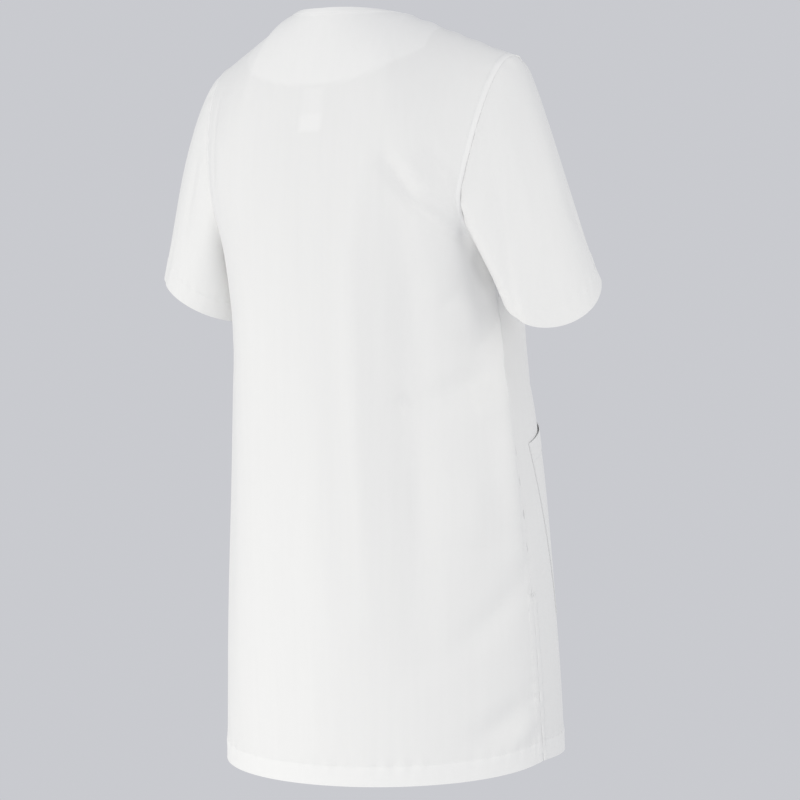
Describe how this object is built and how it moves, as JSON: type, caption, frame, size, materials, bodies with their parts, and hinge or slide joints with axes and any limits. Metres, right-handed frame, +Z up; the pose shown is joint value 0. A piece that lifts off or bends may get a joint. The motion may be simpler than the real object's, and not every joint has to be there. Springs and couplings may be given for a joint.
{
  "type": "work tunic",
  "caption": "white short-sleeved collarless work tunic with a V neck, side slits and patch pockets, filled out as worn",
  "frame": {"origin": "between the shoulders at the height of the shoulder line beside the neck, where the wearer carries the tunic", "axes": "+Z up, the front faces -Y and the wearer's left side is +X"},
  "size_m": [0.4929, 0.3245, 0.7643],
  "materials": {
    "cloth": "matte woven polyester and cotton"
  },
  "bodies": {
    "root": {"back": "cloth", "front": "cloth", "sleeve_left": "cloth", "sleeve_right": "cloth", "back_neck_facing": "cloth", "label": "cloth", "pocket_left": "cloth", "pocket_right": "cloth"}
  },
  "joints": []
}
